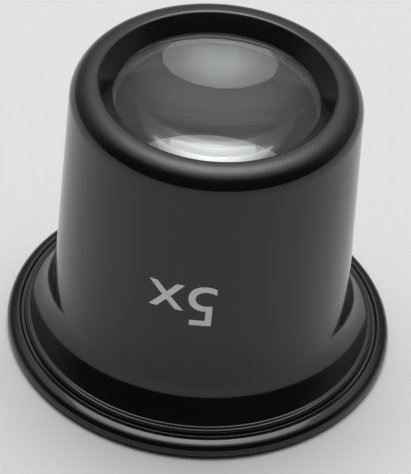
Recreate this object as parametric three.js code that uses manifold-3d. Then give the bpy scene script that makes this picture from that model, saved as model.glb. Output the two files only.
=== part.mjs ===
// A watchmaker's eye loupe: a one-piece black eyecup, a biconvex glass lens behind the
// rolled nose, and a screwed ring that holds the lens from the eye side.
// Millimetres, +Z up. It stands on its flange: the origin is the centre of the rest face,
// and +Z runs along the optical axis to the nose.

import * as THREE from "three";
import { mergeVertices } from "three/addons/utils/BufferGeometryUtils.js";
import Module from "manifold-3d";

const wasm = await Module();
wasm.setup();

// Lens
const lensRadius = 11.5;
const lensFrontCurve = 52; // radius of the face towards the work
const lensBackCurve = 52; // radius of the face towards the eye
const lensEdge = 2.4; // height of the ground edge
const lensBevel = 0.15;

// Running gaps
const lensClearance = 0.15; // round the lens in its pocket
const seatGap = 0.05; // along the axis, where the lens meets its seats
const threadClearance = 0.15; // between crests and roots, along the radius
const flankClearance = 0.08; // between thread flanks, along the axis

// Screwed ring and its thread
const pitch = 1;
const threadDepth = 0.5;
const crestHalfWidth = 0.06;
const rootHalfWidth = 0.35;
const threadRunout = 0.6; // along the helix, where the ridge fades in and out
const ringHeight = 2.5;
const ringOverlap = 1.3; // how far the ring reaches under the lens
const ringLand = 0.4; // plain stretch above and below the ring's ridge
const ringBevel = 0.2;
const notchWidth = 2;
const notchDepth = 1;

// Eyecup, along the radius
const threadStep = 0.25; // from the lens pocket out to the thread's crests
const boreRelief = 0.5; // from the thread's roots out to the barrel's bore
const boreDraft = 0.8; // how much wider the bore is at the mouth
const mouthFlare = 1.2;
const footWall = 2.32; // from the bore's mouth out to the barrel's foot
const barrelTaper = 0.65; // from the foot in to the nose
const noseWidth = 2.87; // from the nose's side in to the crown's inner corner
const seatOverlap = 0.55; // how far the nose covers the lens
const flareSwell = 0.36; // from the barrel's foot out to the top of the flange's slope
const flangeWidth = 4.98; // from the barrel's foot out to the flange's edge
const beadWidth = 1.25;
const beadFall = 0.25; // from the bead's inner edge in to the groove's floor
const grooveWidth = 0.35;
const crestDraft = 0.05;
const crestWidth = 0.6;

// Eyecup, along the axis
const height = 34.1;
const noseDepth = 1.7; // from the crown down to the seat
const apertureLand = 0.15;
const pocketDepth = 2.8; // from the seat down to the thread
const threadLength = 3.4;
const mouthHeight = 3;
const footHeight = 9.5;
const beadHeight = 2;
const beadShoulder = 0.5; // from the bead's top down to its outer corner
const grooveDepth = 0.3; // below the bead's top
const crestRise = 0.38; // above the bead's top
const crestTilt = 0.07; // from the crest's outer edge up to its inner edge
const slopeHeight = 1.92; // from the crest's inner edge up to the top of the slope

// Rounded corners of the eyecup
const footRound = 52;
const flareRound = 6;
const shoulderRound = 2.45;
const crownRound = 0.55;
const apertureRound = 0.1;
const mouthRound = 1;
const boreRound = 3;
const flangeRound = 0.85;
const beadOuterRound = 1.1;
const beadInnerRound = 0.35;
const grooveRound = 0.12;
const crestRound = 0.3;

// Cuts run this far past the faces that they open, and joined pieces this far into each other
const overrun = 0.3;
const weldTolerance = 1e-4;

// Counts
const segments = 48; // round a full turn
const cornerSteps = 2;
const flangeSteps = 3;
const shoulderSteps = 6;
const flareSteps = 6;
const lensSteps = 10;
const notches = 2;
const sideShare = 0.98; // the most of a side that its two rounded corners may take together

// Sizes that follow
const apertureRadius = lensRadius - seatOverlap;
const pocketRadius = lensRadius + lensClearance;
const femaleCrestRadius = pocketRadius + threadStep;
const femaleRootRadius = femaleCrestRadius + threadDepth;
const boreRadius = femaleRootRadius + boreRelief;
const boreMouthRadius = boreRadius + boreDraft;
const mouthRadius = boreMouthRadius + mouthFlare;
const footRadius = boreMouthRadius + footWall;
const noseRadius = footRadius - barrelTaper;
const crownRadius = noseRadius - noseWidth;
const flareRadius = footRadius + flareSwell;
const flangeRadius = footRadius + flangeWidth;
const beadInnerRadius = flangeRadius - beadWidth;
const grooveOuterRadius = beadInnerRadius - beadFall;
const grooveInnerRadius = grooveOuterRadius - grooveWidth;
const crestOuterRadius = grooveInnerRadius - crestDraft;
const crestInnerRadius = crestOuterRadius - crestWidth;
const grooveHeight = beadHeight - grooveDepth;
const crestOuterHeight = beadHeight + crestRise;
const crestInnerHeight = crestOuterHeight + crestTilt;
const flareHeight = crestInnerHeight + slopeHeight;
const seatHeight = height - noseDepth;
const threadTop = seatHeight - pocketDepth;
const threadBottom = threadTop - threadLength;

// How far a sphere of this curve falls from its pole out to a radius
function sag(curve, radius) {
  return curve - Math.sqrt(curve * curve - radius * radius);
}

// The nose's inner edge touches the front face, and the ring's inner edge the back face
const ringInnerRadius = lensRadius - ringOverlap;
const frontRimHeight =
  seatHeight - seatGap - sag(lensFrontCurve, lensRadius) + sag(lensFrontCurve, apertureRadius);
const backRimHeight = frontRimHeight - lensEdge;
const lensMiddle = (frontRimHeight + backRimHeight) / 2;
const ringTop =
  backRimHeight - sag(lensBackCurve, lensRadius) + sag(lensBackCurve, ringInnerRadius) - seatGap;
const ringBottom = ringTop - ringHeight;
const maleRootRadius = femaleCrestRadius - threadClearance;
const maleCrestRadius = femaleRootRadius - threadClearance;

// A closed outline from corners { r, z, round, steps }, each rounded by a tangent arc. Where
// the arcs at the two ends of a side would meet, both are made smaller by the same share
function roundedOutline(corners) {
  const points = corners.map(({ r, z }) => new THREE.Vector2(r, z));
  const sides = points.map((point, i) => points[(i + 1) % points.length].clone().sub(point));
  const backs = sides.map((side, i) => sides.at(i - 1).clone().normalize().negate());
  const forwards = sides.map((side) => side.clone().normalize());
  const tangents = backs.map((back, i) => Math.tan(Math.acos(back.dot(forwards[i])) / 2));
  const reaches = corners.map(({ round = 0 }, i) => round / tangents[i]);
  const shares = sides.map((side, i) => {
    const wanted = reaches[i] + reaches[(i + 1) % reaches.length];
    return Math.min(1, (sideShare * side.length()) / wanted);
  });
  return corners.flatMap(({ round, steps = cornerSteps }, i) => {
    if (!round) return [points[i]];
    const reach = reaches[i] * Math.min(shares.at(i - 1), shares[i]);
    const centre = backs[i]
      .clone()
      .add(forwards[i])
      .setLength(Math.hypot(reach, reach * tangents[i]))
      .add(points[i]);
    const start = points[i].clone().addScaledVector(backs[i], reach).sub(centre);
    const end = points[i].clone().addScaledVector(forwards[i], reach).sub(centre);
    const turn = Math.atan2(start.cross(end), start.dot(end));
    return Array.from({ length: steps + 1 }, (_, k) =>
      start.clone().rotateAround(new THREE.Vector2(), (turn * k) / steps).add(centre),
    );
  });
}

// A solid from a closed geometry: only positions, shared vertices merged, slivers dropped
function solid(geometry) {
  geometry.deleteAttribute("normal");
  geometry.deleteAttribute("uv");
  const merged = mergeVertices(geometry, weldTolerance);
  const corners = merged.index.array;
  const faces = [];
  for (let i = 0; i < corners.length; i += 3) {
    const [a, b, c] = corners.subarray(i, i + 3);
    if (a !== b && b !== c && c !== a) faces.push(a, b, c);
  }
  return new wasm.Manifold(
    new wasm.Mesh({
      numProp: 3,
      vertProperties: merged.attributes.position.array,
      triVerts: new Uint32Array(faces),
    }),
  );
}

function geometryOf(body) {
  const mesh = body.getMesh();
  const geometry = new THREE.BufferGeometry();
  geometry.setAttribute("position", new THREE.BufferAttribute(mesh.vertProperties, 3));
  geometry.setIndex(new THREE.BufferAttribute(mesh.triVerts, 1));
  geometry.computeVertexNormals();
  return geometry;
}

// A body of revolution about Z. The outline runs anticlockwise, radius to the right
function turned(outline) {
  return solid(new THREE.LatheGeometry(outline, segments).rotateX(Math.PI / 2));
}

function turnedRing(corners) {
  const outline = roundedOutline(corners);
  return turned([...outline, outline[0]]);
}

// A right-hand ridge round Z from one height to another. All ridges share one helix, which
// crosses the +X side at height zero, so a ridge and its groove are always in step
function helicalRidge({ rootRadius, tipRadius, rootHalf, tipHalf, from, to }) {
  const sections = Math.ceil((segments * (to - from)) / pitch);
  const positions = [];
  const faces = [];
  for (let k = 0; k <= sections; k++) {
    const z = from + ((to - from) * k) / sections;
    const angle = (2 * Math.PI * z) / pitch;
    const along = (2 * Math.PI * rootRadius * Math.min(z - from, to - z)) / pitch;
    const tip = rootRadius + (tipRadius - rootRadius) * Math.min(1, along / threadRunout);
    const base = rootRadius - overrun;
    const section = [
      [base, -rootHalf],
      [rootRadius, -rootHalf],
      [Math.max(tip, rootRadius), -tipHalf],
      [Math.max(tip, rootRadius), tipHalf],
      [rootRadius, rootHalf],
      [base, rootHalf],
    ];
    for (const [r, dz] of section) {
      positions.push(r * Math.cos(angle), r * Math.sin(angle), z + dz);
    }
    const n = section.length;
    if (k === 0) for (let j = 1; j < n - 1; j++) faces.push(0, j, j + 1);
    if (k === sections) {
      for (let j = 1; j < n - 1; j++) faces.push(k * n, k * n + j + 1, k * n + j);
      continue;
    }
    for (let j = 0; j < n; j++) {
      const next = (j + 1) % n;
      faces.push(k * n + j, (k + 1) * n + j, (k + 1) * n + next);
      faces.push(k * n + j, (k + 1) * n + next, k * n + next);
    }
  }
  const geometry = new THREE.BufferGeometry();
  geometry.setAttribute("position", new THREE.Float32BufferAttribute(positions, 3));
  geometry.setIndex(faces);
  return solid(geometry);
}

// The eyecup is one moulding: a flange with bead, groove and crest, a slope that sweeps up
// into the tapered barrel, and a rolled nose. Inside it are the lens seat, the thread and a
// bore that widens towards the eye
function eyecupBody() {
  const blank = turnedRing([
    { r: mouthRadius, z: 0, round: mouthRound },
    { r: flangeRadius, z: 0, round: flangeRound, steps: flangeSteps },
    { r: flangeRadius, z: beadHeight - beadShoulder, round: beadOuterRound, steps: flangeSteps },
    { r: beadInnerRadius, z: beadHeight, round: beadInnerRound },
    { r: grooveOuterRadius, z: grooveHeight, round: grooveRound, steps: 1 },
    { r: grooveInnerRadius, z: grooveHeight, round: grooveRound, steps: 1 },
    { r: crestOuterRadius, z: crestOuterHeight, round: crestRound },
    { r: crestInnerRadius, z: crestInnerHeight, round: crestRound },
    { r: flareRadius, z: flareHeight, round: flareRound, steps: flareSteps },
    { r: footRadius, z: footHeight, round: footRound },
    { r: noseRadius, z: height, round: shoulderRound, steps: shoulderSteps },
    { r: crownRadius, z: height, round: crownRound },
    { r: apertureRadius, z: seatHeight + apertureLand, round: apertureRound },
    { r: apertureRadius, z: seatHeight },
    { r: pocketRadius, z: seatHeight },
    { r: pocketRadius, z: threadTop },
    { r: femaleCrestRadius, z: threadTop },
    { r: femaleCrestRadius, z: threadBottom },
    { r: boreRadius, z: threadBottom },
    { r: boreMouthRadius, z: mouthHeight, round: boreRound },
  ]);
  const groove = helicalRidge({
    rootRadius: femaleCrestRadius,
    tipRadius: femaleRootRadius,
    rootHalf: grooveHalfWidth(femaleCrestRadius),
    tipHalf: grooveHalfWidth(femaleRootRadius),
    from: threadBottom - pitch / 2,
    to: ringTop - ringLand + threadClearance,
  });
  return blank.subtract(groove);
}

// The groove's half width at a radius: the ridge's there, and the clearance of its flank
function grooveHalfWidth(radius) {
  const share = (radius - maleRootRadius) / (maleCrestRadius - maleRootRadius);
  return THREE.MathUtils.lerp(rootHalfWidth, crestHalfWidth, share) + flankClearance;
}

// The ring is modelled with its lower face at height zero
function retainingRing() {
  const blank = turnedRing([
    { r: ringInnerRadius, z: 0, round: ringBevel, steps: 1 },
    { r: maleRootRadius, z: 0, round: ringBevel, steps: 1 },
    { r: maleRootRadius, z: ringHeight, round: ringBevel, steps: 1 },
    { r: ringInnerRadius, z: ringHeight },
  ]);
  const ridge = helicalRidge({
    rootRadius: maleRootRadius,
    tipRadius: maleCrestRadius,
    rootHalf: rootHalfWidth,
    tipHalf: crestHalfWidth,
    from: ringLand,
    to: ringHeight - ringLand,
  });
  let ring = blank.add(ridge);
  const notchReach = maleCrestRadius + overrun;
  for (let k = 0; k < notches; k++) {
    const notch = new THREE.BoxGeometry(notchReach, notchWidth, notchDepth + overrun)
      .translate(notchReach / 2, 0, (notchDepth - overrun) / 2)
      .rotateZ((2 * Math.PI * k) / notches);
    ring = ring.subtract(solid(notch));
  }
  return ring;
}

// The lens is modelled about the middle of its ground edge
function lens() {
  const halfEdge = lensEdge / 2;
  const rimRadius = lensRadius - lensBevel;
  const back = [];
  const front = [];
  for (let k = 0; k <= lensSteps; k++) {
    const r = (rimRadius * k) / lensSteps;
    back.push(new THREE.Vector2(r, sag(lensBackCurve, r) - sag(lensBackCurve, lensRadius) - halfEdge));
    front.push(
      new THREE.Vector2(r, sag(lensFrontCurve, lensRadius) - sag(lensFrontCurve, r) + halfEdge),
    );
  }
  const edge = [
    new THREE.Vector2(lensRadius, lensBevel - halfEdge),
    new THREE.Vector2(lensRadius, halfEdge - lensBevel),
  ];
  return turned([...back, ...edge, ...front.reverse()]);
}

function piece(name, body, look) {
  const mesh = new THREE.Mesh(geometryOf(body), new THREE.MeshStandardMaterial(look));
  mesh.name = name;
  return mesh;
}

const loupe = new THREE.Group();
loupe.name = "eye_loupe";
loupe.add(
  piece("eyecup_body", eyecupBody(), { color: 0x0c0f12, roughness: 0.12, metalness: 0 }),
);

const lensMesh = piece("lens", lens(), {
  color: 0xf2f8f5,
  roughness: 0,
  metalness: 0,
  transparent: true,
  opacity: 0.35,
});
lensMesh.position.z = lensMiddle;
loupe.add(lensMesh);

// Turned so that the ring's ridge lies in the eyecup's groove
const ringMesh = piece("retaining_ring", retainingRing(), {
  color: 0x151515,
  roughness: 0.5,
  metalness: 0,
});
ringMesh.position.z = ringBottom;
ringMesh.rotation.z = (2 * Math.PI * ringBottom) / pitch;
loupe.add(ringMesh);

export default loupe;
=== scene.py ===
# %% [markdown]
# # A watchmaker's eye loupe
#
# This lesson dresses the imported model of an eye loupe: a black moulded eyecup that is held in the
# eye socket, a glass lens behind its rolled nose, and a screwed ring that holds the lens from the
# eye side. All lengths are written in millimetres and turned to metres by one factor, because
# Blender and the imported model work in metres. The loupe stands on its flange at the origin, and
# +Z runs up the optical axis to the nose.

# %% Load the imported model
import math

import bmesh
import bpy
from mathutils import Matrix, Vector


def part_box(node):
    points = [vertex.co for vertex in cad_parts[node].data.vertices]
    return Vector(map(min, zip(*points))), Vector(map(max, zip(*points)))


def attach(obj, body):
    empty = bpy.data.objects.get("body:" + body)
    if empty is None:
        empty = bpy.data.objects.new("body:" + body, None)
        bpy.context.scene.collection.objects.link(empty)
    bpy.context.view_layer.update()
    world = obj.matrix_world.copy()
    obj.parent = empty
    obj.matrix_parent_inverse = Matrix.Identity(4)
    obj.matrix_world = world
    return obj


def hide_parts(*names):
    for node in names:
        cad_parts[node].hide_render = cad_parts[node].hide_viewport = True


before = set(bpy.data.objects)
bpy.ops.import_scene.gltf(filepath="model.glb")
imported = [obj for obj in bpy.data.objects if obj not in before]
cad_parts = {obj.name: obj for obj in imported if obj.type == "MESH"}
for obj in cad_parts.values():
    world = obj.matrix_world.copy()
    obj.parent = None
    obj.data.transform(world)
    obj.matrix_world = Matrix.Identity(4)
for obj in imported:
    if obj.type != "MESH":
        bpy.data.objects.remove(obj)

MM = 0.001
scene = bpy.context.scene
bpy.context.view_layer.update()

# %% [markdown]
# ## Helpers
#
# Colours are written as they look on a screen, in sRGB hex, and shaders want linear light, so one
# function turns the one into the other. Materials and Geometry Nodes are both graphs of nodes, so
# one function adds a node to either, and another, which it uses, feeds the inputs of a node. The
# last one finds where a place lies round the axis. The thread, the wear of the nose and the circles
# that a tool leaves all need it.

# %% Colour and node helpers
def linear(colour):
    """The linear RGBA of an sRGB hex colour."""
    parts = [int(colour[i : i + 2], 16) / 255 for i in (1, 3, 5)]
    return [c / 12.92 if c <= 0.04045 else ((c + 0.055) / 1.055) ** 2.4 for c in parts] + [1]


def feed(tree, node, inputs):
    """Gives each of a node's inputs a value, or a link from the socket or node that is given."""
    for key, value in inputs.items():
        if isinstance(value, bpy.types.Node):
            value = next(s for s in value.outputs if s.enabled)
        if isinstance(value, bpy.types.NodeSocket):
            tree.links.new(value, node.inputs[key])
        else:
            node.inputs[key].default_value = value


def add_node(tree, kind, inputs=None, **settings):
    """Adds a node with its settings, and feeds its inputs."""
    node = tree.nodes.new(kind)
    for name, value in settings.items():
        setattr(node, name, value)
    feed(tree, node, inputs or {})
    return node


def from_axis(tree, place):
    """The way out from the axis to a place, its radius, and its X, Y and Z."""
    parts = add_node(tree, "ShaderNodeSeparateXYZ", {0: place}).outputs
    flat = add_node(tree, "ShaderNodeVectorMath", {0: place, 1: (1, 1, 0)}, operation="MULTIPLY")
    distance = add_node(tree, "ShaderNodeVectorMath", {0: flat}, operation="LENGTH")
    return flat, distance.outputs["Value"], parts


print("a near black, in linear light:", [round(c, 4) for c in linear("#0c0f12")])

# %% [markdown]
# ## The outline of a turned piece
#
# The eyecup, the lens and the ring are all bodies of revolution, as most optical parts are. Each
# starts as a half outline: corners given by radius and height, each rounded by its own arc, as on
# the moulding drawing. Where the arcs at the two ends of a side would meet, both are made smaller
# by the same share.

# %% Round the corners of an outline
SIDE_SHARE = 0.98  # the most of a side that its two rounded corners may take together
ARC_STEP = math.radians(5)  # the most that a rounding turns from one point to the next
FEWEST_STEPS = 4  # in one rounding


def rounded_outline(corners):
    """Points (radius, height) in mm, from corners (radius, height, rounding) in mm."""
    places = [Vector(corner[:2]) for corner in corners]
    sides = [after - here for here, after in zip(places, places[1:] + places[:1])]
    tangents = [math.tan((-sides[i - 1]).angle(side) / 2) for i, side in enumerate(sides)]
    reaches = [corner[2] / tangent for corner, tangent in zip(corners, tangents)]
    shares = []
    for i, side in enumerate(sides):
        wanted = reaches[i] + reaches[(i + 1) % len(reaches)]
        shares.append(min(1, SIDE_SHARE * side.length / wanted) if wanted else 1)
    points = []
    for i, here in enumerate(places):
        reach = reaches[i] * min(shares[i - 1], shares[i])
        if not reach:
            points.append(here)
            continue
        back, forward = -sides[i - 1].normalized(), sides[i].normalized()
        to_centre = math.hypot(reach, reach * tangents[i])
        centre = here + (back + forward).normalized() * to_centre
        start, end = here + back * reach - centre, here + forward * reach - centre
        turn = math.atan2(start.x * end.y - start.y * end.x, start.dot(end))
        steps = max(FEWEST_STEPS, math.ceil(abs(turn) / ARC_STEP))
        for k in range(steps + 1):
            points.append(centre + Matrix.Rotation(turn * k / steps, 2) @ start)
    return points


square = rounded_outline([(0, 0, 1), (4, 0, 1), (4, 4, 1), (0, 4, 1)])
print("a square with rounded corners:", len(square), "points")

# %% [markdown]
# A straight side that a screw thread will be cut into gets many points, and plain sides get none.
# The lathe takes its outline as a line of edges.

# %% Divide a side, and make a line of edges
NEAR = 1e-6  # mm, within which two lengths are the same


def divided(points, low, high, radius, spacing):
    """The outline with points added along its upright side at that radius, between two heights."""
    out = []
    for here, after in zip(points, points[1:] + points[:1]):
        out.append(here)
        upright = abs(here.x - radius) < NEAR and abs(after.x - radius) < NEAR
        if upright and low - NEAR <= min(here.y, after.y) and max(here.y, after.y) <= high + NEAR:
            count = math.ceil((after - here).length / spacing)
            out += [here.lerp(after, k / count) for k in range(1, count)]
    return out


def outline_mesh(name, points, closed):
    """The outline as a line of edges in the XZ plane, in metres."""
    mesh = bpy.data.meshes.new(name)
    edges = [(i, i + 1) for i in range(len(points) - 1)] + [(len(points) - 1, 0)] * closed
    mesh.from_pydata([(p.x * MM, 0, p.y * MM) for p in points], edges, [])
    return mesh


print("with its right side divided:", len(divided(square, 1, 3, 4, 0.5)), "points")

# %% [markdown]
# ## A lathe, as a node tree
#
# A mould for such a cup is turned on a lathe, and so is the cup here. The tree lays a grid, with
# one row for each point of the outline and one column for each step round the axis. It then moves
# each point of the grid to its place on the outline, turned about Z. That keeps every point of the
# outline exactly. Blender's Screw modifier would turn the outline too, but then the thread could
# not follow in the same chain of nodes. The seam and the poles are closed by merging.

# %% Lay out the grid of the lathe
def new_tree(name, sockets, result):
    """An empty Geometry Nodes tree with named inputs, and its input node."""
    tree = bpy.data.node_groups.new(name, "GeometryNodeTree")
    for label, kind in sockets.items():
        tree.interface.new_socket(label, in_out="INPUT", socket_type="NodeSocket" + kind)
    tree.interface.new_socket(result, in_out="OUTPUT", socket_type="NodeSocketGeometry")
    return tree, add_node(tree, "NodeGroupInput").outputs


lathe, given = new_tree(
    "Turn an outline on a lathe",
    {"Outline": "Geometry", "Steps Round": "Int", "Closed Outline": "Int"},
    "Turned Piece",
)
size = add_node(lathe, "GeometryNodeAttributeDomainSize", {"Geometry": given["Outline"]})
points = size.outputs["Point Count"]
rows = add_node(
    lathe, "FunctionNodeIntegerMath", {0: points, 1: given["Closed Outline"]}, operation="ADD"
)
columns = add_node(
    lathe, "FunctionNodeIntegerMath", {0: given["Steps Round"], 1: 1}, operation="ADD"
)
grid = add_node(lathe, "GeometryNodeMeshGrid", {"Vertices X": columns, "Vertices Y": rows})
index = add_node(lathe, "GeometryNodeInputIndex")
row = add_node(lathe, "FunctionNodeIntegerMath", {0: index, 1: rows}, operation="MODULO")
column = add_node(lathe, "FunctionNodeIntegerMath", {0: index, 1: rows}, operation="DIVIDE_FLOOR")
print("lathe tree so far:", len(lathe.nodes), "nodes")

# %% [markdown]
# A closed outline gets one row more than it has points, and the last row lies on the first point
# again. The row's number modulo the number of points finds it.

# %% Move the grid to the outline
TAU = 2 * math.pi
SEAM = 0.001 * MM  # points closer than this are one

wrapped = add_node(lathe, "FunctionNodeIntegerMath", {0: row, 1: points}, operation="MODULO")
place = add_node(
    lathe,
    "GeometryNodeSampleIndex",
    {
        "Geometry": given["Outline"],
        "Value": add_node(lathe, "GeometryNodeInputPosition"),
        "Index": wrapped,
    },
    data_type="FLOAT_VECTOR",
)
share = add_node(lathe, "ShaderNodeMath", {0: column, 1: given["Steps Round"]}, operation="DIVIDE")
angle = add_node(lathe, "ShaderNodeMath", {0: share, 1: TAU}, operation="MULTIPLY")
turned = add_node(
    lathe, "ShaderNodeVectorRotate", {"Vector": place, "Angle": angle}, rotation_type="Z_AXIS"
)
moved = add_node(
    lathe, "GeometryNodeSetPosition", {"Geometry": grid.outputs["Mesh"], "Position": turned}
)
merged = add_node(lathe, "GeometryNodeMergeByDistance", {"Geometry": moved, "Distance": SEAM})
add_node(lathe, "NodeGroupOutput", {0: merged})
print("lathe tree:", len(lathe.nodes), "nodes")

# %% [markdown]
# ## A thread cutter
#
# The ring screws into the eyecup with a fine right-hand thread of 1 mm pitch. A helical sweep and
# a Boolean would cut it, but would leave ragged faces. Here the wall already has rows closer than
# the thread's flanks, so it is enough to move its points outwards by how near they lie to the
# helix. A point's phase is its height in pitches less its angle in turns, and it lies on the helix
# where that phase is a whole number.

# %% Find how far each point is from the helix
thread, given = new_tree(
    "Cut a screw thread",
    {
        "Piece": "Geometry",
        "Pitch": "Float",
        "Depth": "Float",
        "Wall Radius": "Float",
        "Root Half Width": "Float",
        "Tip Half Width": "Float",
        "Lower End": "Float",
        "Upper End": "Float",
        "Run-out": "Float",
    },
    "Threaded Piece",
)
flat, radius, parts = from_axis(thread, add_node(thread, "GeometryNodeInputPosition"))
height = parts["Z"]
heading = add_node(thread, "ShaderNodeMath", {0: parts["Y"], 1: parts["X"]}, operation="ARCTAN2")
turns = add_node(thread, "ShaderNodeMath", {0: heading, 1: TAU}, operation="DIVIDE")
pitches = add_node(thread, "ShaderNodeMath", {0: height, 1: given["Pitch"]}, operation="DIVIDE")
phase = add_node(thread, "ShaderNodeMath", {0: pitches, 1: turns}, operation="SUBTRACT")
whole = add_node(thread, "ShaderNodeMath", {0: phase}, operation="ROUND")
off = add_node(thread, "ShaderNodeMath", {0: phase, 1: whole}, operation="SUBTRACT")
off = add_node(thread, "ShaderNodeMath", {0: off}, operation="ABSOLUTE")
off = add_node(thread, "ShaderNodeMath", {0: off, 1: given["Pitch"]}, operation="MULTIPLY")
print("thread tree so far:", len(thread.nodes), "nodes")

# %% [markdown]
# Between the root and the tip the flank is straight, so the share of the depth falls evenly there.
# The thread fades in and out at its two ends, as a cutter runs out. Only points of the wall that
# the thread is cut into are moved, and the rest of the piece keeps its shape.

# %% Move the points of the wall
ON_WALL = 0.01 * MM  # how near to the wall's radius a point of it lies

flank = add_node(
    thread,
    "ShaderNodeMapRange",
    {0: off, 1: given["Root Half Width"], 2: given["Tip Half Width"], 3: 0.0, 4: 1.0},
)
above = add_node(thread, "ShaderNodeMath", {0: height, 1: given["Lower End"]}, operation="SUBTRACT")
below = add_node(thread, "ShaderNodeMath", {0: given["Upper End"], 1: height}, operation="SUBTRACT")
near = add_node(thread, "ShaderNodeMath", {0: above, 1: below}, operation="MINIMUM")
fade = add_node(
    thread, "ShaderNodeMapRange", {0: near, 1: 0.0, 2: given["Run-out"], 3: 0.0, 4: 1.0}
)
reach = add_node(thread, "ShaderNodeMath", {0: flank, 1: fade}, operation="MULTIPLY")
reach = add_node(thread, "ShaderNodeMath", {0: reach, 1: given["Depth"]}, operation="MULTIPLY")
outwards = add_node(thread, "ShaderNodeVectorMath", {0: flat}, operation="NORMALIZE")
offset = add_node(
    thread, "ShaderNodeVectorMath", {0: outwards, "Scale": reach}, operation="SCALE"
)
on_wall = add_node(
    thread,
    "ShaderNodeMath",
    {0: radius, 1: given["Wall Radius"], 2: ON_WALL},
    operation="COMPARE",
)
cut = add_node(
    thread,
    "GeometryNodeSetPosition",
    {"Geometry": given["Piece"], "Selection": on_wall, "Offset": offset},
)
add_node(thread, "NodeGroupOutput", {0: cut})
print("thread tree:", len(thread.nodes), "nodes")

# %% [markdown]
# ## A slot cutter
#
# A spanner turns the ring by slots across its lower face. They repeat evenly round the axis, so the
# tree places one block on a row of points, turns each copy by its share of a full turn, and cuts
# them all out of the ring in one Boolean. That leaves some points almost on top of each other, so
# they are merged.

# %% Build the slot cutter
SLIVER = 0.002 * MM

slotting, given = new_tree(
    "Cut slots round the axis",
    {
        "Piece": "Geometry",
        "Slots": "Int",
        "Block": "Vector",
        "Block Centre": "Vector",
        "First Angle": "Float",
    },
    "Slotted Piece",
)
block = add_node(slotting, "GeometryNodeMeshCube", {"Size": given["Block"]})
block = add_node(
    slotting, "GeometryNodeTransform", {"Geometry": block, "Translation": given["Block Centre"]}
)
centres = add_node(slotting, "GeometryNodePoints", {"Count": given["Slots"]})
index = add_node(slotting, "GeometryNodeInputIndex")
share = add_node(slotting, "ShaderNodeMath", {0: index, 1: given["Slots"]}, operation="DIVIDE")
angle = add_node(
    slotting,
    "ShaderNodeMath",
    {0: share, 1: TAU, 2: given["First Angle"]},
    operation="MULTIPLY_ADD",
)
blocks = add_node(
    slotting,
    "GeometryNodeInstanceOnPoints",
    {
        "Points": centres,
        "Instance": block,
        "Rotation": add_node(slotting, "ShaderNodeCombineXYZ", {"Z": angle}),
    },
)
slotted = add_node(
    slotting, "GeometryNodeMeshBoolean", {"Mesh 1": given["Piece"], "Mesh 2": blocks}
)
welded = add_node(
    slotting, "GeometryNodeMergeByDistance", {"Geometry": slotted, "Distance": SLIVER}
)
add_node(slotting, "NodeGroupOutput", {0: welded})
print("slot tree:", len(slotting.nodes), "nodes")

# %% [markdown]
# ## Finishing
#
# Real edges catch light because they are crisp where two surfaces meet and smooth elsewhere. The
# last tree shades every face smooth, marks as sharp the edges that turn by more than a set angle,
# and gives the piece its finish.

# %% Build the finisher
finishing, given = new_tree(
    "Shade and finish",
    {"Piece": "Geometry", "Sharp Angle": "Float", "Finish": "Material"},
    "Finished Piece",
)
smooth = add_node(
    finishing, "GeometryNodeSetShadeSmooth", {"Geometry": given["Piece"], "Shade Smooth": True}
)
edge_turn = add_node(finishing, "GeometryNodeInputMeshEdgeAngle").outputs["Unsigned Angle"]
sharp = add_node(
    finishing,
    "FunctionNodeCompare",
    {0: edge_turn, 1: given["Sharp Angle"]},
    data_type="FLOAT",
    operation="GREATER_THAN",
)
creased = add_node(
    finishing,
    "GeometryNodeSetShadeSmooth",
    {"Geometry": smooth, "Selection": sharp, "Shade Smooth": False},
    domain="EDGE",
)
real = add_node(finishing, "GeometryNodeRealizeInstances", {"Geometry": creased})
finished = add_node(
    finishing, "GeometryNodeSetMaterial", {"Geometry": real, "Material": given["Finish"]}
)
add_node(finishing, "NodeGroupOutput", {0: finished})
print("finishing tree:", len(finishing.nodes), "nodes")

# %% [markdown]
# ## From an outline to a plain mesh
#
# A piece goes through its trees one after the other, as a part goes from machine to machine. The
# result is then kept as a plain mesh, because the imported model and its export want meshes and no
# live modifiers. Each piece says how large it came out and whether its surface is closed.

# %% Run a piece through its trees
def make_piece(name, mesh, steps):
    """Runs node trees, each with its inputs by name, on a mesh, and keeps a plain mesh.

    A Boolean can leave edges and points that belong to no face, so these are deleted.
    """
    piece = bpy.data.objects.new(name, mesh)
    scene.collection.objects.link(piece)
    for tree, sizes in steps:
        step = piece.modifiers.new(tree.name, "NODES")
        step.node_group = tree
        for socket in tree.interface.items_tree:
            if socket.in_out == "INPUT" and socket.name in sizes:
                step[socket.identifier] = sizes[socket.name]
    made = piece.evaluated_get(bpy.context.evaluated_depsgraph_get())
    plain = bpy.data.meshes.new_from_object(made)
    piece.modifiers.clear()
    piece.data = plain
    plain.name = name
    measure = bmesh.new()
    measure.from_mesh(plain)
    for elements, context in [(measure.edges, "EDGES"), (measure.verts, "VERTS")]:
        loose = [element for element in elements if not element.link_faces]
        bmesh.ops.delete(measure, geom=loose, context=context)
    measure.to_mesh(plain)
    open_edges = sum(1 for e in measure.edges if len(e.link_faces) != 2)
    print(
        f"{name}: {sum(len(f.verts) - 2 for f in measure.faces)} triangles,",
        f"{measure.calc_volume(signed=True) / MM**3:.1f} mm3, {open_edges} open edges",
    )
    measure.free()
    return piece


print("trees that a piece can go through:", [tree.name for tree in bpy.data.node_groups])

# %% [markdown]
# ## Materials
#
# ### The black moulding
#
# The cup is ABS, injection moulded in a polished tool. The plastic itself is nearly black, so what
# the eye sees is the gloss: reflections that are clear but a little soft, because a moulded face
# has a faint orange peel and hair scratches from handling.

# %% Gloss black ABS
FINE = 1 / MM  # one pattern cell per millimetre
ABS_IOR = 1.53
RELIEF = 0.02 * MM  # how deep the grain of a surface is drawn


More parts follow.
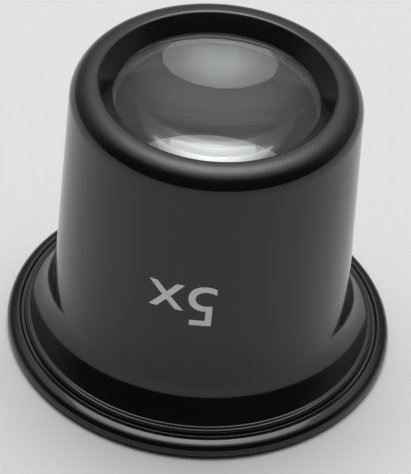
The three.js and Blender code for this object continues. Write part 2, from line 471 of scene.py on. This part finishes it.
def new_material(name, constants):
    """A material whose Principled shader has these constants on its own sockets."""
    material = bpy.data.materials.new(name)
    material.use_nodes = True
    tree = material.node_tree
    shader = tree.nodes["Principled BSDF"]
    feed(tree, shader, constants)
    return material, tree, shader, add_node(tree, "ShaderNodeTexCoord").outputs["Object"]


def dress(material, tree, shader, sources):
    """Feeds the shader from these nodes, and says how many nodes the material has."""
    feed(tree, shader, sources)
    print(f"{material.name}: {len(tree.nodes)} nodes")


gloss, tree, shader, here = new_material("Gloss black ABS, injection moulded", {"IOR": ABS_IOR})
cloud = add_node(
    tree, "ShaderNodeTexNoise", {"Vector": here, "Scale": 0.12 * FINE, "Detail": 3.0}
)
tint = add_node(
    tree,
    "ShaderNodeMix",
    {0: cloud.outputs["Fac"], 6: linear("#080a0d"), 7: linear("#0e1114")},
    data_type="RGBA",
)
drawn_out = add_node(tree, "ShaderNodeMapping", {"Vector": here, "Scale": (1, 1, 6)})
hairs = add_node(
    tree, "ShaderNodeTexNoise", {"Vector": drawn_out, "Scale": 0.8 * FINE, "Detail": 6.0}
)
wear = add_node(
    tree,
    "ShaderNodeMapRange",
    {0: hairs.outputs["Fac"], 1: 0.35, 2: 0.75, 3: 0.07, 4: 0.16},
)
peel = add_node(
    tree, "ShaderNodeTexNoise", {"Vector": here, "Scale": 0.5 * FINE, "Detail": 2.0}
)
skin = add_node(
    tree,
    "ShaderNodeBump",
    {"Height": peel.outputs["Fac"], "Strength": 0.1, "Distance": RELIEF},
)
print("gloss ABS before its wear:", len(tree.nodes), "nodes")

# %% [markdown]
# ### Its rubbed nose
#
# Where the nose is widest it rubs on the bench, the drawer and the cloth that cleans the lens. Fine
# scratches run round it and take its polish, so it shines evenly and softly where the rest has
# clear reflections. A material of its own for the nose would end in a hard line, but the wear fades
# out on both sides, so it is mixed into the same material by how far a point is from the axis and
# how high it lies.

# %% Find where the nose is rubbed
# Each border runs from untouched to fully worn, in mm.
INNER_BORDER, OUTER_BORDER, LOWER_BORDER = (12.2, 13.0), (15.3, 14.2), (32.9, 33.6)

_, radius, parts = from_axis(tree, here)
borders = [(radius, INNER_BORDER), (radius, OUTER_BORDER), (parts["Z"], LOWER_BORDER)]
rubbed = None
for place, (untouched, worn) in borders:
    side = add_node(
        tree,
        "ShaderNodeMapRange",
        {0: place, 1: untouched * MM, 2: worn * MM},
        interpolation_type="SMOOTHSTEP",
    )
    if rubbed is not None:
        side = add_node(tree, "ShaderNodeMath", {0: rubbed, 1: side}, operation="MULTIPLY")
    rubbed = side
print("gloss ABS with the border of its wear:", len(tree.nodes), "nodes")

# %% [markdown]
# The scratches are noise that is sampled in radius and height, with a slow turn round the axis, so
# its marks are long arcs. Real ones are a few hundredths of a millimetre wide, too fine to show in
# the render, so they are drawn about 0.15 mm wide.

# %% Scratch it
around = add_node(tree, "ShaderNodeMath", {0: parts["Y"], 1: parts["X"]}, operation="ARCTAN2")
swept = add_node(tree, "ShaderNodeCombineXYZ", {"X": radius, "Z": parts["Z"]})
swept = add_node(
    tree, "ShaderNodeVectorMath", {0: swept, 1: (FINE, FINE, FINE)}, operation="MULTIPLY"
)
bent = add_node(tree, "ShaderNodeCombineXYZ", {"Y": around})
swept = add_node(tree, "ShaderNodeVectorMath", {0: swept, 1: bent}, operation="ADD")
rings = add_node(tree, "ShaderNodeTexNoise", {"Vector": swept, "Scale": 7.0, "Detail": 4.0})
scuffed = add_node(
    tree,
    "ShaderNodeMix",
    {0: rings.outputs["Fac"], 6: linear("#131212"), 7: linear("#1f1d1b")},
    data_type="RGBA",
)
dulled = add_node(
    tree,
    "ShaderNodeMapRange",
    {0: rings.outputs["Fac"], 1: 0.3, 2: 0.7, 3: 0.3, 4: 0.42},
)
colour = add_node(
    tree,
    "ShaderNodeMix",
    {0: rubbed, 6: tint, 7: scuffed},
    data_type="RGBA",
)
rough = add_node(tree, "ShaderNodeMix", {0: rubbed, 2: wear, 3: dulled}, data_type="FLOAT")
depth = add_node(tree, "ShaderNodeMath", {0: rings, 1: rubbed}, operation="MULTIPLY")
grooves = add_node(
    tree,
    "ShaderNodeBump",
    {"Height": depth, "Normal": skin, "Strength": 0.25, "Distance": RELIEF},
)
dress(gloss, tree, shader, {"Base Color": colour, "Roughness": rough, "Normal": grooves})

# %% [markdown]
# ### The matt inside
#
# A shiny bore would mirror the bench lamp into the eye. The mould's core is spark-eroded, which
# gives the plastic a fine, even grain that scatters light. The grain is about 0.25 mm, a little
# coarser than the real one, so that it shows.

# %% Black ABS with an eroded grain
eroded, tree, shader, here = new_material("Matt black ABS, spark-eroded tool", {"IOR": ABS_IOR})
grain = add_node(
    tree, "ShaderNodeTexNoise", {"Vector": here, "Scale": 4.0 * FINE, "Detail": 3.0}
)
shade = add_node(
    tree,
    "ShaderNodeMix",
    {0: grain.outputs["Fac"], 6: linear("#101011"), 7: linear("#1b1b1c")},
    data_type="RGBA",
)
rough = add_node(
    tree,
    "ShaderNodeMapRange",
    {0: grain.outputs["Fac"], 1: 0.3, 2: 0.7, 3: 0.45, 4: 0.65},
)
pitted = add_node(
    tree,
    "ShaderNodeBump",
    {"Height": grain.outputs["Fac"], "Strength": 0.4, "Distance": RELIEF},
)
dress(eroded, tree, shader, {"Base Color": shade, "Roughness": rough, "Normal": pitted})

# %% [markdown]
# ## The eyecup
#
# One moulding. The flange has a rounded bead, a narrow groove inside it, and a crest, from which a
# slope leads up to a soft flare at the foot of the barrel. The barrel tapers a little, as a mould
# needs, and ends in a rolled nose with a funnel down to the lens. Inside are the lens seat, the
# threaded stretch and a bore that widens towards the eye. It could be stacked from cylinders and
# joined, but one outline turned once gives the same unbroken surface as the mould.

# %% Draw the outline of the eyecup
THREAD_WALL, THREAD_LOW, THREAD_HIGH = 11.9, 26.2, 29.6
ROW_SPACING = 0.06
BARREL_FOOT, BARREL_TOP = (16.02, 9.5), (15.37, 34.1)  # radius, height
EYECUP_CORNERS = [  # radius, height, rounding
    (14.9, 0, 1),
    (21, 0, 0.85),
    (21, 1.5, 1.1),
    (19.75, 2, 0.35),
    (19.5, 1.7, 0.12),
    (19.15, 1.7, 0.12),
    (19.1, 2.38, 0.3),
    (18.5, 2.45, 0.3),
    (16.38, 4.37, 6),
    (*BARREL_FOOT, 52),
    (*BARREL_TOP, 2.45),
    (12.5, 34.1, 0.55),
    (10.95, 32.55, 0.1),
    (10.95, 32.4, 0),
    (11.65, 32.4, 0),
    (11.65, THREAD_HIGH, 0),
    (THREAD_WALL, THREAD_HIGH, 0),
    (THREAD_WALL, THREAD_LOW, 0),
    (12.9, THREAD_LOW, 0),
    (13.7, 3, 3),
]

outline = rounded_outline(EYECUP_CORNERS)
outline = divided(outline, THREAD_LOW, THREAD_HIGH, THREAD_WALL, ROW_SPACING)
print("outline of the eyecup:", len(outline), "points")

# %% [markdown]
# The thread in the cup is a groove. A real one is moulded on a core that unscrews. Here the wall
# with its many rows goes straight from the lathe to the thread cutter, which moves its points
# outwards.

# %% Turn the eyecup and cut its thread
STEPS_ROUND = 192
PITCH, THREAD_DEPTH, RUN_OUT = 1.0, 0.5, 0.4
GROOVE_LOW, GROOVE_HIGH = 25.6, 29.4  # starts below its wall, so that the ring can enter
GROOVE_ROOT, GROOVE_TIP = 0.343, 0.053  # half widths
SHARP = math.radians(32)

groove = {
    "Pitch": PITCH * MM,
    "Depth": THREAD_DEPTH * MM,
    "Wall Radius": THREAD_WALL * MM,
    "Root Half Width": GROOVE_ROOT * MM,
    "Tip Half Width": GROOVE_TIP * MM,
    "Lower End": GROOVE_LOW * MM,
    "Upper End": GROOVE_HIGH * MM,
    "Run-out": RUN_OUT * MM,
}
eyecup = make_piece(
    "eyecup",
    outline_mesh("eyecup outline", outline, closed=True),
    [
        (lathe, {"Steps Round": STEPS_ROUND, "Closed Outline": 1}),
        (thread, groove),
        (finishing, {"Sharp Angle": SHARP, "Finish": gloss}),
    ],
)

# %% [markdown]
# ### Which face has which finish
#
# The mould is polished outside and eroded inside, so the eyecup has two materials. A face is sorted
# by its radius and height alone, which draws the borders exactly round the axis.

# %% Give each zone of the eyecup its finish
BORE_REACH, BORE_LOW, BORE_HIGH = 13.9, 1, 32.5  # the matt stretch, in mm


def give_finishes(piece, finishes, choose):
    """Gives each face the finish that is chosen for the radius and height of its centre, in mm."""
    piece.data.materials.clear()
    for finish in finishes:
        piece.data.materials.append(finish)
    counts = [0] * len(finishes)
    for face in piece.data.polygons:
        radius, height = math.hypot(face.center.x, face.center.y) / MM, face.center.z / MM
        chosen = finishes.index(choose(radius, height))
        face.material_index = chosen
        counts[chosen] += 1
    for finish, count in zip(finishes, counts):
        print(f"{piece.name}: {count} faces of {finish.name}")


def eyecup_finish(radius, height):
    """Matt inside, from just above the mouth up to the lens seat, and glossy elsewhere."""
    inside = radius < BORE_REACH and BORE_LOW < height <= BORE_HIGH
    return eroded if inside else gloss


give_finishes(eyecup, [gloss, eroded], eyecup_finish)
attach(eyecup, "eyecup")
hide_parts("eyecup_body")

# %% [markdown]
# ## The printed mark
#
# Loupes carry their magnification on the barrel, so that one can be picked from a drawer. This one
# has a focal length of 50 mm, and 250 mm, the usual reading distance, divided by 50 is 5, so the
# mark says 5x. It stands on its head while the loupe stands on its flange, because the loupe is
# read with its nose down. Pad printing lays an even film of ink, a few hundredths of a millimetre
# thick, that follows the barrel. The ink is a little uneven, and a little less glossy than the
# plastic.

# %% White ink, pad printed
ink, tree, shader, here = new_material("White ink, pad printed", {"IOR": 1.5})
film = add_node(tree, "ShaderNodeTexNoise", {"Vector": here, "Scale": 3.0 * FINE, "Detail": 4.0})
cover = add_node(
    tree,
    "ShaderNodeMix",
    {0: film.outputs["Fac"], 6: linear("#e4e5e3"), 7: linear("#f7f8f6")},
    data_type="RGBA",
)
satin = add_node(
    tree,
    "ShaderNodeMapRange",
    {0: film.outputs["Fac"], 1: 0.3, 2: 0.7, 3: 0.4, 4: 0.55},
)
dress(ink, tree, shader, {"Base Color": cover, "Roughness": satin})

# %% [markdown]
# Text is filled and thickened reliably only at a size near 1, so it is made with one unit to the
# millimetre, and turned to metres when its points are moved to the barrel.

# %% Make flat letters
MARK_SIZE, INK_THICKNESS = 7.6, 0.03

letters = bpy.data.curves.new("magnification", "FONT")
letters.body = "5x"
letters.size = MARK_SIZE
letters.extrude = INK_THICKNESS / 2
letters.align_x, letters.align_y = "CENTER", "CENTER"
flat_letters = bpy.data.objects.new("flat letters", letters)
scene.collection.objects.link(flat_letters)
shaped = flat_letters.evaluated_get(bpy.context.evaluated_depsgraph_get())
print_mesh = bpy.data.meshes.new_from_object(shaped)
bpy.data.objects.remove(flat_letters)
print("flat letters:", len(print_mesh.polygons), "faces")

# %% [markdown]
# Letters bent by a Curve modifier would follow only a circle, and the barrel tapers. So they are
# sliced upright, which lets them bend, and each point is moved to its place on the taper.

# %% Slice the letters and bend them round the barrel
MARK_HEIGHT, MARK_HEADING = 17.5, math.radians(-96)
INK_SUNK = 0.01  # the film starts this far inside the barrel, so that no gap shows under it
SLICE = 0.4
WELD = 0.001

solid = bmesh.new()
solid.from_mesh(print_mesh)
bmesh.ops.remove_doubles(solid, verts=solid.verts, dist=WELD)
cuts = math.ceil(MARK_SIZE / SLICE)
for k in range(-cuts, cuts + 1):
    bmesh.ops.bisect_plane(
        solid,
        geom=[*solid.verts, *solid.edges, *solid.faces],
        plane_co=(k * SLICE, 0, 0),
        plane_no=(1, 0, 0),
    )
taper = (BARREL_TOP[0] - BARREL_FOOT[0]) / (BARREL_TOP[1] - BARREL_FOOT[1])
for point in solid.verts:
    height = MARK_HEIGHT - point.co.y
    on_barrel = BARREL_FOOT[0] + taper * (height - BARREL_FOOT[1])
    heading = MARK_HEADING - point.co.x / on_barrel
    reach = on_barrel + point.co.z + INK_THICKNESS / 2 - INK_SUNK
    point.co = Vector((reach * math.cos(heading), reach * math.sin(heading), height)) * MM
bmesh.ops.recalc_face_normals(solid, faces=solid.faces)
solid.to_mesh(print_mesh)
open_edges = sum(1 for e in solid.edges if len(e.link_faces) != 2)
print("mark:", len(solid.faces), "faces,", open_edges, "open edges")
solid.free()
print_mesh.materials.clear()
print_mesh.materials.append(ink)
mark = bpy.data.objects.new("printed_magnification", print_mesh)
scene.collection.objects.link(mark)
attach(mark, "eyecup")

# %% [markdown]
# ## The lens
#
# ### Its glass
#
# The lens is crown glass, ground and polished. What the eye sees in it are two images of the lamp,
# one from each face, and through it the dark ring and the floor. Glass has no colour of its own
# here but a faint green, and its life is in what lies on it: a thin film from breath and fingers,
# which blurs the reflections in places, and some specks of dust, one to about 3 mm.

# %% Polished glass with a film and dust
GLASS_IOR = 1.52
DUST_HAZE = 0.4  # roughness in the middle of a speck

glass, tree, shader, here = new_material(
    "Polished crown glass", {"IOR": GLASS_IOR, "Transmission Weight": 1.0}
)
specks = add_node(tree, "ShaderNodeTexVoronoi", {"Vector": here, "Scale": 0.35 * FINE})
dust = add_node(
    tree,
    "ShaderNodeMapRange",
    {0: specks.outputs["Distance"], 1: 0.02, 2: 0.035, 3: 1.0, 4: 0.0},
)
smear = add_node(
    tree, "ShaderNodeTexNoise", {"Vector": here, "Scale": 0.3 * FINE, "Detail": 3.0}
)
film = add_node(
    tree,
    "ShaderNodeMapRange",
    {0: smear.outputs["Fac"], 1: 0.45, 2: 0.8, 3: 0.0, 4: 0.03},
)
haze = add_node(tree, "ShaderNodeMath", {0: dust, 1: DUST_HAZE}, operation="MULTIPLY")
haze = add_node(tree, "ShaderNodeMath", {0: haze, 1: film}, operation="MAXIMUM")
shade = add_node(
    tree,
    "ShaderNodeMix",
    {0: smear.outputs["Fac"], 6: linear("#f2fbf6"), 7: linear("#fafdfb")},
    data_type="RGBA",
)
dress(glass, tree, shader, {"Base Color": shade, "Roughness": haze})

# %% [markdown]
# ### Its ground edge
#
# The edge is ground with a wheel and isn't polished, so it is a pale frosted band. The grit leaves
# pits of about a tenth of a millimetre.

# %% Ground glass
ground, tree, shader, here = new_material(
    "Ground glass edge", {"IOR": GLASS_IOR, "Transmission Weight": 0.6}
)
grit = add_node(tree, "ShaderNodeTexNoise", {"Vector": here, "Scale": 8.0 * FINE, "Detail": 2.0})
rough = add_node(
    tree,
    "ShaderNodeMapRange",
    {0: grit.outputs["Fac"], 1: 0.3, 2: 0.7, 3: 0.35, 4: 0.6},
)
shade = add_node(
    tree,
    "ShaderNodeMix",
    {0: grit.outputs["Fac"], 6: linear("#8fa39a"), 7: linear("#b9c8c1")},
    data_type="RGBA",
)
dress(ground, tree, shader, {"Base Color": shade, "Roughness": rough})

# %% [markdown]
# ### Its shape
#
# Both faces are parts of a sphere of 52 mm radius, which gives the 50 mm focal length. A UV sphere
# cut by another would do, but a lens is an outline on a lathe too, with the poles closed by the
# merge. The faces need many points, because the light bends at each of them. The height comes from
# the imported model, so the lens lies in its seat.

# %% Turn the lens
LENS_RADIUS, LENS_CURVE, LENS_EDGE, LENS_BEVEL = 11.5, 52, 2.4, 0.15
LENS_POINTS = 40
LENS_SHARP = math.radians(8)  # on a polished face even a small turn is an edge


def sag(curve, radius):
    """How far a sphere of this curve falls from its pole out to a radius."""
    return curve - math.sqrt(curve * curve - radius * radius)


lens_low, lens_high = (corner.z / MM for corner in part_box("lens"))
middle = (lens_low + lens_high) / 2
face_rise = sag(LENS_CURVE, LENS_RADIUS)
rim = LENS_RADIUS - LENS_BEVEL
pole = LENS_EDGE / 2 + face_rise
reaches = [rim * k / LENS_POINTS for k in range(LENS_POINTS + 1)]
dome = [Vector((reach, pole - sag(LENS_CURVE, reach))) for reach in reaches]
side = LENS_EDGE / 2 - LENS_BEVEL
outline = [Vector((p.x, middle - p.y)) for p in dome]
outline += [Vector((LENS_RADIUS, middle - side)), Vector((LENS_RADIUS, middle + side))]
outline += [Vector((p.x, middle + p.y)) for p in reversed(dome)]
lens_piece = make_piece(
    "lens_biconvex",
    outline_mesh("lens outline", outline, closed=False),
    [
        (lathe, {"Steps Round": STEPS_ROUND, "Closed Outline": 0}),
        (finishing, {"Sharp Angle": LENS_SHARP, "Finish": glass}),
    ],
)


def lens_finish(radius, height):
    """Ground round the edge, and polished on both faces."""
    return ground if radius > rim else glass


give_finishes(lens_piece, [glass, ground], lens_finish)
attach(lens_piece, "lens")
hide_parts("lens")

# %% [markdown]
# ## The screwed ring
#
# ### Its plastic
#
# The ring is turned from black acetal, and the tool leaves fine circles on it. They are sampled in
# radius and height only, so each is a closed circle. Real ones are 0.05 mm apart; here they are
# about 0.15 mm, so that they show.

# %% Black acetal, turned
turned_black, tree, shader, here = new_material("Matt black acetal, turned", {"IOR": 1.48})
_, radius, parts = from_axis(tree, here)
swept = add_node(tree, "ShaderNodeCombineXYZ", {"X": radius, "Z": parts["Z"]})
lines = add_node(tree, "ShaderNodeTexNoise", {"Vector": swept, "Scale": 6.0 * FINE, "Detail": 2.0})
shade = add_node(
    tree,
    "ShaderNodeMix",
    {0: lines.outputs["Fac"], 6: linear("#0d0d0e"), 7: linear("#191919")},
    data_type="RGBA",
)
rough = add_node(
    tree,
    "ShaderNodeMapRange",
    {0: lines.outputs["Fac"], 1: 0.3, 2: 0.7, 3: 0.4, 4: 0.6},
)
cuts = add_node(
    tree,
    "ShaderNodeBump",
    {"Height": lines.outputs["Fac"], "Strength": 0.3, "Distance": RELIEF},
)
dress(turned_black, tree, shader, {"Base Color": shade, "Roughness": rough, "Normal": cuts})

# %% [markdown]
# ### Its shape
#
# The ring starts as a plain one, with a small rounding on three of its edges. The fourth, at the
# top of its bore, carries the lens and stays sharp. The ring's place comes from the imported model.

# %% Draw the outline of the ring
RING_ROOT, RING_INNER, RING_ROUNDING = 11.75, 10.2, 0.2

ring_low, ring_high = (corner.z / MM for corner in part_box("retaining_ring"))
outline = rounded_outline(
    [
        (RING_INNER, ring_low, RING_ROUNDING),
        (RING_ROOT, ring_low, RING_ROUNDING),
        (RING_ROOT, ring_high, RING_ROUNDING),
        (RING_INNER, ring_high, 0),
    ]
)
outline = divided(outline, ring_low, ring_high, RING_ROOT, ROW_SPACING)
print("outline of the ring:", len(outline), "points")

# %% [markdown]
# It gets the thread's ridge from the same cutter as the eyecup's groove, with a little room between
# the two, and then two slots across its lower face for a spanner. The first slot lies at the angle
# where the ridge starts.

# %% Turn the ring, cut its thread and its slots
RING_LAND = 0.4  # the plain stretch above and below the thread
RIDGE_ROOT, RIDGE_TIP = 0.35, 0.06  # half widths
SLOTS, SLOT_WIDTH, SLOT_DEPTH, SLOT_OVERRUN = 2, 2, 1, 0.3

ridge = {
    "Pitch": PITCH * MM,
    "Depth": THREAD_DEPTH * MM,
    "Wall Radius": RING_ROOT * MM,
    "Root Half Width": RIDGE_ROOT * MM,
    "Tip Half Width": RIDGE_TIP * MM,
    "Lower End": (ring_low + RING_LAND) * MM,
    "Upper End": (ring_high - RING_LAND) * MM,
    "Run-out": RUN_OUT * MM,
}
slot_reach = RING_ROOT + THREAD_DEPTH + SLOT_OVERRUN
slots = {
    "Slots": SLOTS,
    "Block": Vector((slot_reach, SLOT_WIDTH, SLOT_DEPTH + SLOT_OVERRUN)) * MM,
    "Block Centre": Vector((slot_reach / 2, 0, ring_low + (SLOT_DEPTH - SLOT_OVERRUN) / 2)) * MM,
    "First Angle": TAU * ring_low / PITCH,
}
ring = make_piece(
    "screwed_ring",
    outline_mesh("ring outline", outline, closed=True),
    [
        (lathe, {"Steps Round": STEPS_ROUND, "Closed Outline": 1}),
        (thread, ridge),
        (slotting, slots),
        (finishing, {"Sharp Angle": SHARP, "Finish": turned_black}),
    ],
)
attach(ring, "retaining_ring")
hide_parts("retaining_ring")

# %% [markdown]
# ## The floor
#
# The loupe stands on a wide sheet of pale paper. A Blender plane would do, and four points in code
# are the same thing with its size in sight. Paper scatters light evenly and has no gloss, so its
# specular level is zero, and a faint fibre keeps its tone from being dead flat. A paler sheet would
# make a whiter background, but the black barrel mirrors the floor, and would turn grey.

# %% Floor of pale paper
FLOOR_REACH = 3.0  # metres from the middle to each side

paper, tree, shader, here = new_material(
    "Pale background paper", {"IOR": 1.4, "Roughness": 0.9, "Specular IOR Level": 0.0}
)
fibre = add_node(tree, "ShaderNodeTexNoise", {"Vector": here, "Scale": 1.0 * FINE, "Detail": 2.0})
shade = add_node(
    tree,
    "ShaderNodeMix",
    {0: fibre.outputs["Fac"], 6: linear("#d3d3d3"), 7: linear("#d7d7d7")},
    data_type="RGBA",
)
dress(paper, tree, shader, {"Base Color": shade})
floor_mesh = bpy.data.meshes.new("floor")
corners = [(-1, -1), (1, -1), (1, 1), (-1, 1)]
floor_mesh.from_pydata(
    [(x * FLOOR_REACH, y * FLOOR_REACH, 0) for x, y in corners], [], [(0, 1, 2, 3)]
)
floor_mesh.materials.append(paper)
floor = bpy.data.objects.new("floor", floor_mesh)
scene.collection.objects.link(floor)
print("floor:", 2 * FLOOR_REACH, "m square")

# %% [markdown]
# ## The light
#
# A glossy black thing shows its lights more than its colour. The photo's reflections tell what they
# were: one large round light overhead, a little to the far side and brighter in its middle, a faint
# strip behind, and pale surroundings that fall off to a dark room on the near side. So there is one
# round area light, graded from its middle by the Parametric coordinate of its own face, one strip,
# and a world that is bright above and dim below. Together they light the floor at about its written
# colour.

# %% Hang the lamps
# Places and sizes are in metres.
UMBRELLA_PLACE, UMBRELLA_AIM = (0, 0.27, 1.03), (0, 0.27, 0)
UMBRELLA_WIDTH, UMBRELLA_LENGTH = 1.02, 0.84
CORE, RIM, CORE_STRENGTH, RIM_STRENGTH = 0.05, 0.45, 6.6, 2.6  # it dims from core to rim
STRIP_PLACE, STRIP_AIM = (0, 1.2, 0.59), (0, 0, 0.03)
STRIP_WIDTH, STRIP_LENGTH, STRIP_BRIGHTNESS = 1.2, 0.26, 0.26


def soft_box(name, place, aim, width, length, shape="RECTANGLE", brightness=1.0):
    """A flat soft light: its power follows from its area and how bright its face looks."""
    lamp = bpy.data.lights.new(name, "AREA")
    lamp.shape = shape
    lamp.size, lamp.size_y = width, length
    area = width * length * (math.pi / 4 if shape == "ELLIPSE" else 1)
    lamp.energy = brightness * math.pi * area
    light = bpy.data.objects.new(name, lamp)
    scene.collection.objects.link(light)
    light.location = place
    light.rotation_euler = (Vector(aim) - Vector(place)).to_track_quat("-Z", "Y").to_euler()
    return light


overhead = soft_box(
    "overhead umbrella", UMBRELLA_PLACE, UMBRELLA_AIM, UMBRELLA_WIDTH, UMBRELLA_LENGTH, "ELLIPSE"
)
overhead.data.use_nodes = True
tree = overhead.data.node_tree
spot = add_node(tree, "ShaderNodeNewGeometry").outputs["Parametric"]
spot = add_node(tree, "ShaderNodeVectorMath", {0: spot, 1: (0.5, 0.5, 0)}, operation="SUBTRACT")
spot = add_node(
    tree,
    "ShaderNodeVectorMath",
    {0: spot, 1: (UMBRELLA_WIDTH, UMBRELLA_LENGTH, 0)},
    operation="MULTIPLY",
)
spot = add_node(tree, "ShaderNodeVectorMath", {0: spot}, operation="LENGTH").outputs["Value"]
fall = add_node(
    tree,
    "ShaderNodeMapRange",
    {0: spot, 1: CORE, 2: RIM, 3: CORE_STRENGTH, 4: RIM_STRENGTH},
    interpolation_type="SMOOTHSTEP",
)
feed(tree, tree.nodes["Emission"], {"Strength": fall})
soft_box(
    "far strip light",
    STRIP_PLACE,
    STRIP_AIM,
    STRIP_WIDTH,
    STRIP_LENGTH,
    brightness=STRIP_BRIGHTNESS,
)

# %% [markdown]
# The room round the table is the world. Its walls are dim, and dimmer on the near side, where the
# photographer stood. Its ceiling is bright, and reaches further down on the far side.

# %% Paint the room
NEAR_WALL, FAR_WALL, CEILING = 0.03, 0.2, 1.1  # strengths
WALL_TURN = 0.3  # how far to the near and the far side the walls change
CEILING_LOW, CEILING_FULL, CEILING_LEAN = 0.62, 0.95, 0.28

world = bpy.data.worlds.new("studio")
scene.world = world
world.use_nodes = True
tree = world.node_tree
facing = add_node(tree, "ShaderNodeTexCoord").outputs["Generated"]
facing = add_node(tree, "ShaderNodeSeparateXYZ", {0: facing}).outputs
walls = add_node(
    tree,
    "ShaderNodeMapRange",
    {0: facing["Y"], 1: -WALL_TURN, 2: WALL_TURN, 3: NEAR_WALL, 4: FAR_WALL},
    interpolation_type="SMOOTHSTEP",
)
rise = add_node(
    tree,
    "ShaderNodeMath",
    {0: facing["Y"], 1: CEILING_LEAN, 2: facing["Z"]},
    operation="MULTIPLY_ADD",
)
glow = add_node(
    tree,
    "ShaderNodeMapRange",
    {0: rise, 1: CEILING_LOW, 2: CEILING_FULL, 3: walls, 4: CEILING},
    interpolation_type="SMOOTHSTEP",
)
feed(tree, tree.nodes["Background"], {"Color": linear("#ffffff"), "Strength": glow})
print("room:", len(tree.nodes), "nodes")

# %% [markdown]
# ## The camera
#
# The photo was taken from 41 degrees above the bench with a long lens, and the loupe leans a little
# in it. The camera is placed by the outlines of nose, barrel and flange, and held by three axes
# rather than a Track To constraint, so that its roll is exact.

# %% Camera
CAMERA_ELEVATION, CAMERA_DISTANCE, CAMERA_AIM = 40.612, 363.897, 17.0
CAMERA_ROLL, CAMERA_YAW, CAMERA_PITCH = 4.888, -0.035, -0.474
SENSOR, CLIP_START = 36, 0.01
FOCAL_PIXELS, PHOTO_PIXELS = 3395.7, 474  # the focal length, and the longer side of the photo

elevation, roll = math.radians(CAMERA_ELEVATION), math.radians(CAMERA_ROLL)
away = Vector((0, -math.cos(elevation), math.sin(elevation)))
right = Vector((1, 0, 0))
up = right.cross(-away)
rolled_right = math.cos(roll) * right + math.sin(roll) * up
rolled_up = math.cos(roll) * up - math.sin(roll) * right
ahead = -away + math.radians(CAMERA_YAW) * rolled_right + math.radians(CAMERA_PITCH) * rolled_up
ahead.normalize()
true_right = (rolled_right - rolled_right.dot(ahead) * ahead).normalized()
true_up = true_right.cross(ahead)
camera_data = bpy.data.cameras.new("camera")
camera_data.sensor_width = SENSOR
camera_data.lens = SENSOR * FOCAL_PIXELS / PHOTO_PIXELS
camera_data.clip_start = CLIP_START
camera = bpy.data.objects.new("camera", camera_data)
scene.collection.objects.link(camera)
axes = Matrix((true_right, true_up, -ahead)).transposed().to_4x4()
camera.matrix_world = (
    Matrix.Translation((away * CAMERA_DISTANCE + Vector((0, 0, CAMERA_AIM))) * MM) @ axes
)
scene.camera = camera
scene.view_settings.view_transform = "Standard"
print("camera at mm:", tuple(round(v / MM, 1) for v in camera.matrix_world.translation))
